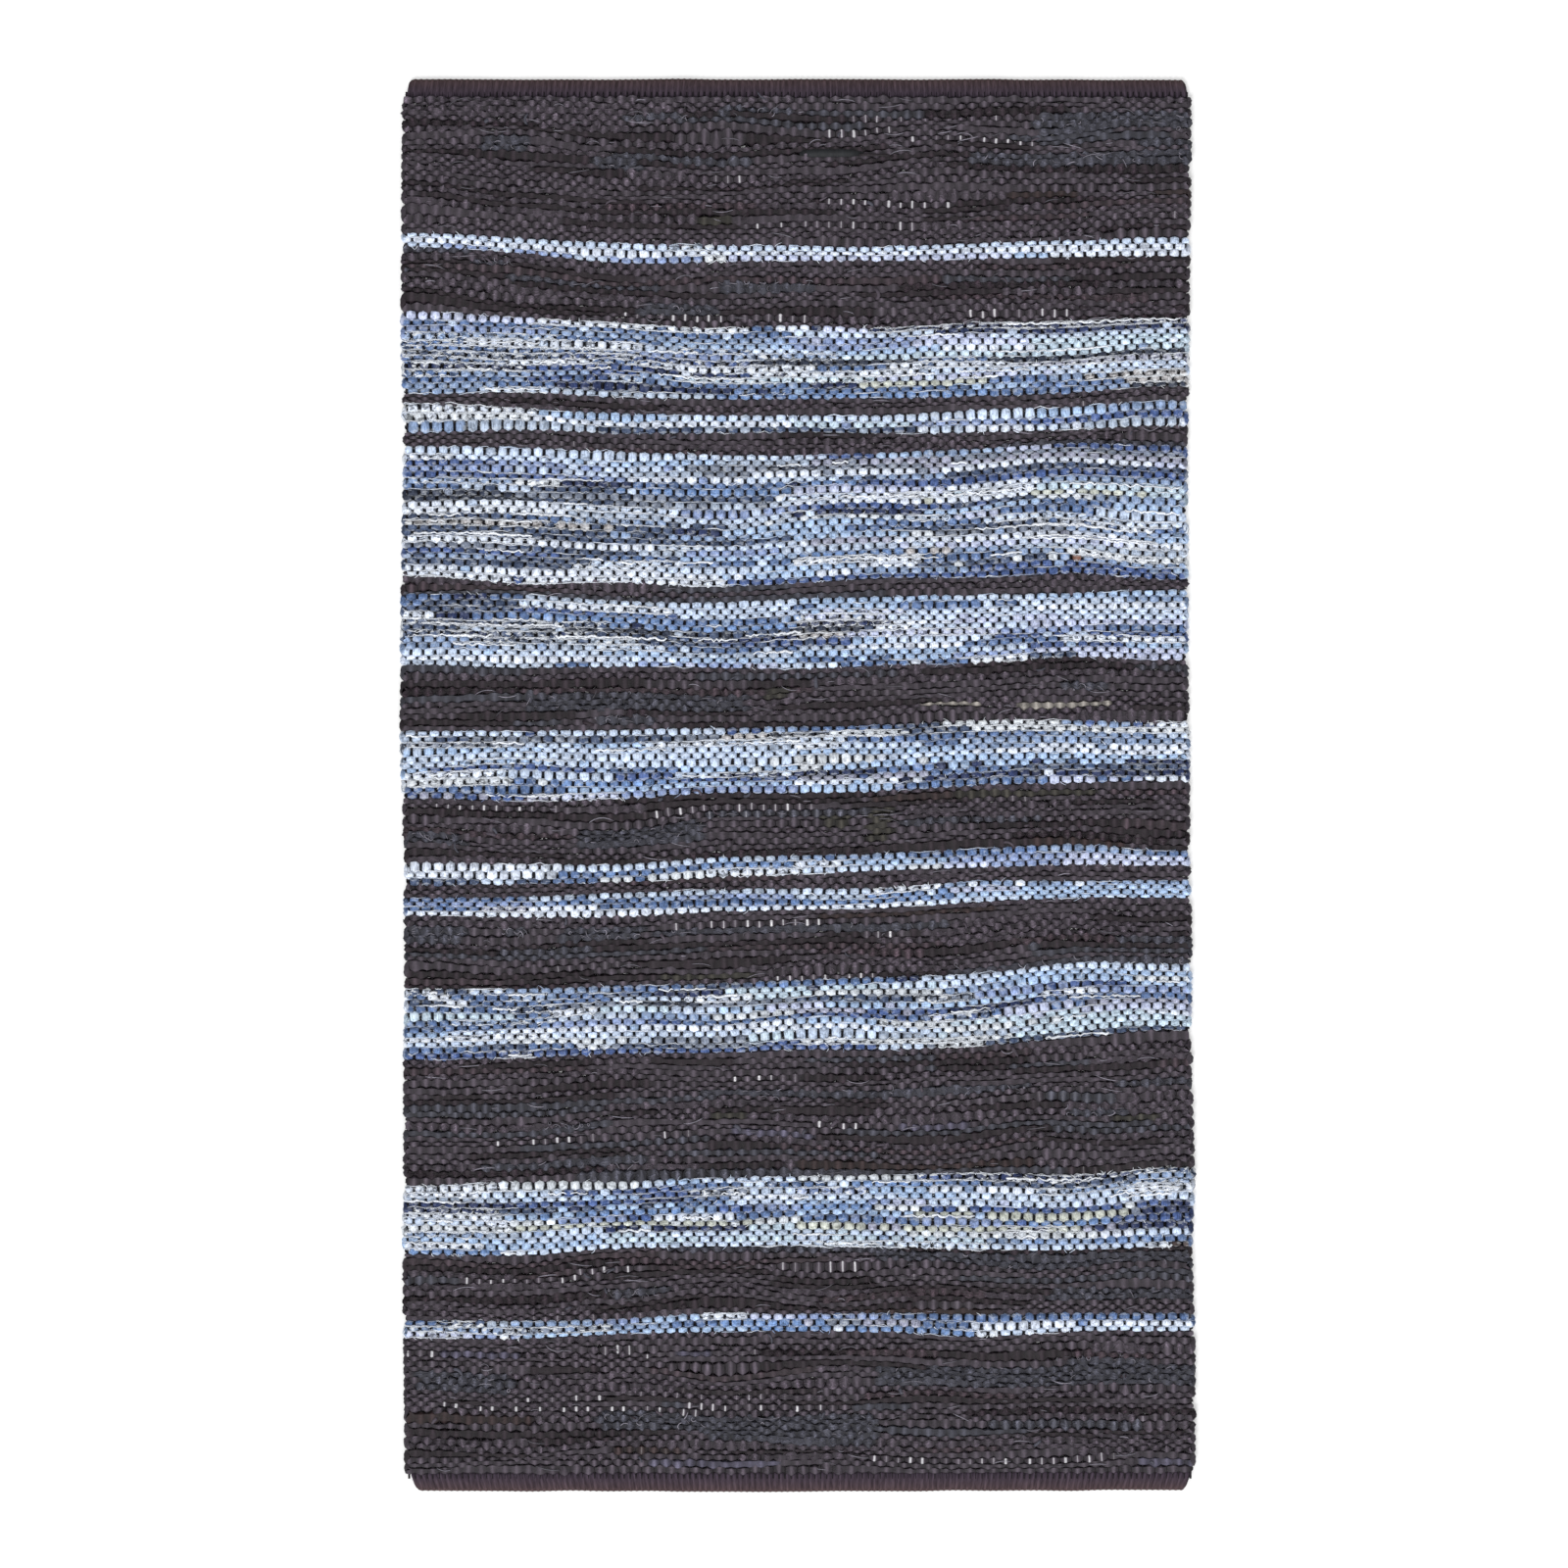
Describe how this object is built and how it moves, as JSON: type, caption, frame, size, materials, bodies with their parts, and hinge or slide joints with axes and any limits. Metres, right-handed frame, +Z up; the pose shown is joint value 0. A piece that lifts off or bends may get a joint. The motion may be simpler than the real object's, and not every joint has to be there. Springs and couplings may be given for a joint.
{
  "type": "handwoven rag rug",
  "caption": "Flat rectangular rug, plain-woven from denim and leather strips in bands across its width, with a folded cotton hem at each end.",
  "frame": {"origin": "on the floor under the middle of the rug's outline, at its flat underside", "axes": "+X across the rug from selvedge to selvedge, +Y along the rug towards its far hem, +Z up out of its face"},
  "size_m": [0.6068, 1.074, 0.0068],
  "materials": {
    "denim_strip": "matte, frayed cut denim in pale, mid and dark blues",
    "leather_strip": "soft dark leather strips, charcoal to near black, partly glossy",
    "cotton_warp": "matte black cotton yarn"
  },
  "bodies": {
    "root": {"woven_rug": "denim_strip"}
  },
  "joints": []
}
